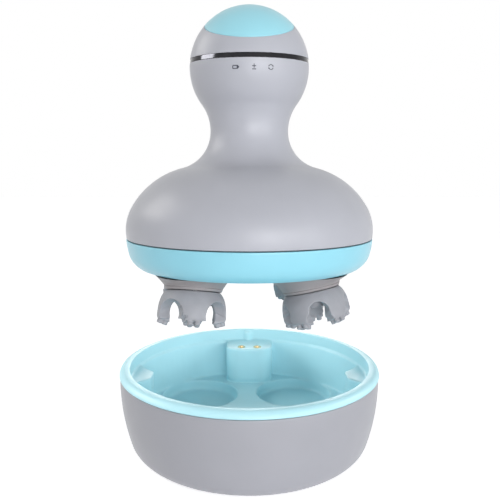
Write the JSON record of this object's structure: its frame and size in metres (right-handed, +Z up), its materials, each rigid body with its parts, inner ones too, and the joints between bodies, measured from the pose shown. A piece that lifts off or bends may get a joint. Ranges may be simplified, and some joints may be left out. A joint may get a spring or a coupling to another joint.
{
  "type": "electric scalp massager",
  "caption": "Handheld scalp massager with a ball grip, tilted button, geared claws on leaning cranks, and a round charging base that it docks in.",
  "frame": {"origin": "centre of the footprint at the underside of the base's feet", "axes": "+Z up along the massager's axis, -Y is the front with the button's tilt and the signs, +X is to the right seen from the front"},
  "size_m": [0.1204, 0.1204, 0.2003],
  "materials": {
    "cup_grey": "satin",
    "liner_blue": "satin",
    "ring_blue": "satin",
    "button_blue": "satin",
    "shell_grey": "satin",
    "band_chrome": "polished dark chrome",
    "dark_rubber": "matt",
    "steel": "bright",
    "board_green": "lacquered",
    "gear_plastic": "smooth",
    "dark_plastic": "satin",
    "contact_gold": "gold plated",
    "bush_brass": "plain",
    "claw_rubber": "matt silicone",
    "boot_rubber": "matt silicone",
    "guide_clear": "clear moulding",
    "cell_sleeve": "shrink sleeve",
    "inner_plastic": "plain moulding"
  },
  "bodies": {
    "charging_base": {"base_shell": "cup_grey", "base_liner": "liner_blue", "base_feet": "dark_rubber", "base_screws": "steel", "charging_board": "board_green", "contact_housing": "dark_plastic", "board_screws": "steel", "charge_socket": "steel", "contact_barrels": "contact_gold", "contact_spring_left": "steel", "contact_spring_right": "steel"},
    "contact_pin_left": {"contact_pin_left": "contact_gold"},
    "contact_pin_right": {"contact_pin_right": "contact_gold"},
    "massager": {"main_shell": "shell_grey", "trim_band": "band_chrome", "head_cap": "shell_grey", "lower_ring": "ring_blue", "seam_gasket": "dark_rubber", "underside_plate": "inner_plastic", "charge_pads": "contact_gold", "plate_screws": "steel", "gearbox_base": "inner_plastic", "motor_plate": "inner_plastic", "gearbox_screws": "steel", "motor": "steel", "idler_axle": "steel", "sun_axle": "steel", "crank_bushes": "bush_brass", "shaft_seals": "dark_rubber", "control_board": "board_green", "cell_cradle": "dark_plastic", "neck_screws": "steel", "battery_cell": "cell_sleeve", "indicator_board": "board_green", "light_guides": "guide_clear", "switch_bracket": "inner_plastic", "bracket_screws": "steel", "switch_board": "board_green", "push_switch": "dark_plastic"},
    "power_button": {"power_button": "button_blue"},
    "switch_plunger": {"switch_plunger": "dark_plastic"},
    "motor_shaft": {"motor_pinion": "gear_plastic"},
    "idler_gear": {"idler_gear": "gear_plastic"},
    "sun_gear": {"sun_gear": "gear_plastic"},
    "crank_1": {"crank_1": "steel", "output_gear_1": "gear_plastic", "boot_1": "boot_rubber"},
    "claw_1": {"claw_1": "claw_rubber"},
    "crank_2": {"crank_2": "steel", "output_gear_2": "gear_plastic", "boot_2": "boot_rubber"},
    "claw_2": {"claw_2": "claw_rubber"},
    "crank_3": {"crank_3": "steel", "output_gear_3": "gear_plastic", "boot_3": "boot_rubber"},
    "claw_3": {"claw_3": "claw_rubber"},
    "crank_4": {"crank_4": "steel", "output_gear_4": "gear_plastic", "boot_4": "boot_rubber"},
    "claw_4": {"claw_4": "claw_rubber"}
  },
  "joints": [
    {"name": "dock_slide", "type": "slide", "parent": "charging_base", "child": "massager", "axis": [0, 0, 1], "range_m": [-0.0525, 0]},
    {"name": "left_contact_press", "type": "slide", "parent": "charging_base", "child": "contact_pin_left", "axis": [0, 0, 1], "range_m": [-0.0007, 0], "stiffness_N_per_m": 600, "deforming": ["contact_spring_left"]},
    {"name": "right_contact_press", "type": "slide", "parent": "charging_base", "child": "contact_pin_right", "axis": [0, 0, 1], "range_m": [-0.0007, 0], "stiffness_N_per_m": 600, "deforming": ["contact_spring_right"]},
    {"name": "button_press", "type": "slide", "parent": "massager", "child": "power_button", "axis": [0, 0.4321, -0.9018], "range_m": [0, 0.0006], "stiffness_N_per_m": 1500},
    {"name": "plunger_press", "type": "slide", "parent": "massager", "child": "switch_plunger", "axis": [0, 0.4321, -0.9018], "range_m": [0, 0.0006]},
    {"name": "sun_spin", "type": "hinge", "parent": "massager", "child": "sun_gear", "pos_m": [0, 0, 0.09938], "axis": [0, 0, 1], "continuous": true},
    {"name": "idler_spin", "type": "hinge", "parent": "massager", "child": "idler_gear", "pos_m": [0.01061, 0.01061, 0.09938], "axis": [0, 0, 1], "continuous": true},
    {"name": "motor_spin", "type": "hinge", "parent": "massager", "child": "motor_shaft", "pos_m": [0, 0, 0.09938], "axis": [0, 0, 1], "continuous": true},
    {"name": "crank_1_spin", "type": "hinge", "parent": "massager", "child": "crank_1", "pos_m": [-0.02297, -0.02507, 0.09938], "axis": [0, 0, 1], "continuous": true},
    {"name": "claw_1_spin", "type": "hinge", "parent": "crank_1", "child": "claw_1", "pos_m": [-0.02297, -0.02507, 0.08538], "axis": [0.0648, 0.2418, 0.9681], "continuous": true},
    {"name": "crank_2_spin", "type": "hinge", "parent": "massager", "child": "crank_2", "pos_m": [0.02507, -0.02297, 0.09938], "axis": [0, 0, 1], "continuous": true},
    {"name": "claw_2_spin", "type": "hinge", "parent": "crank_2", "child": "claw_2", "pos_m": [0.02507, -0.02297, 0.08538], "axis": [-0.2123, 0.1327, 0.9681], "continuous": true},
    {"name": "crank_3_spin", "type": "hinge", "parent": "massager", "child": "crank_3", "pos_m": [0.02297, 0.02507, 0.09938], "axis": [0, 0, 1], "continuous": true},
    {"name": "claw_3_spin", "type": "hinge", "parent": "crank_3", "child": "claw_3", "pos_m": [0.02297, 0.02507, 0.08538], "axis": [-0.2418, -0.0648, 0.9681], "continuous": true},
    {"name": "crank_4_spin", "type": "hinge", "parent": "massager", "child": "crank_4", "pos_m": [-0.02507, 0.02297, 0.09938], "axis": [0, 0, 1], "continuous": true},
    {"name": "claw_4_spin", "type": "hinge", "parent": "crank_4", "child": "claw_4", "pos_m": [-0.02507, 0.02297, 0.08538], "axis": [0.2466, -0.0435, 0.9681], "continuous": true}
  ],
  "couplings": [
    {"joint": "plunger_press", "follows": "button_press", "ratio": 1},
    {"joint": "idler_spin", "follows": "sun_spin", "ratio": -4},
    {"joint": "motor_spin", "follows": "sun_spin", "ratio": 16},
    {"joint": "crank_1_spin", "follows": "sun_spin", "ratio": -1.0732},
    {"joint": "claw_1_spin", "follows": "sun_spin", "ratio": 1.0732},
    {"joint": "crank_2_spin", "follows": "sun_spin", "ratio": -1.0732},
    {"joint": "claw_2_spin", "follows": "sun_spin", "ratio": 1.0732},
    {"joint": "crank_3_spin", "follows": "sun_spin", "ratio": -1.0732},
    {"joint": "claw_3_spin", "follows": "sun_spin", "ratio": 1.0732},
    {"joint": "crank_4_spin", "follows": "sun_spin", "ratio": -1.0732},
    {"joint": "claw_4_spin", "follows": "sun_spin", "ratio": 1.0732}
  ]
}
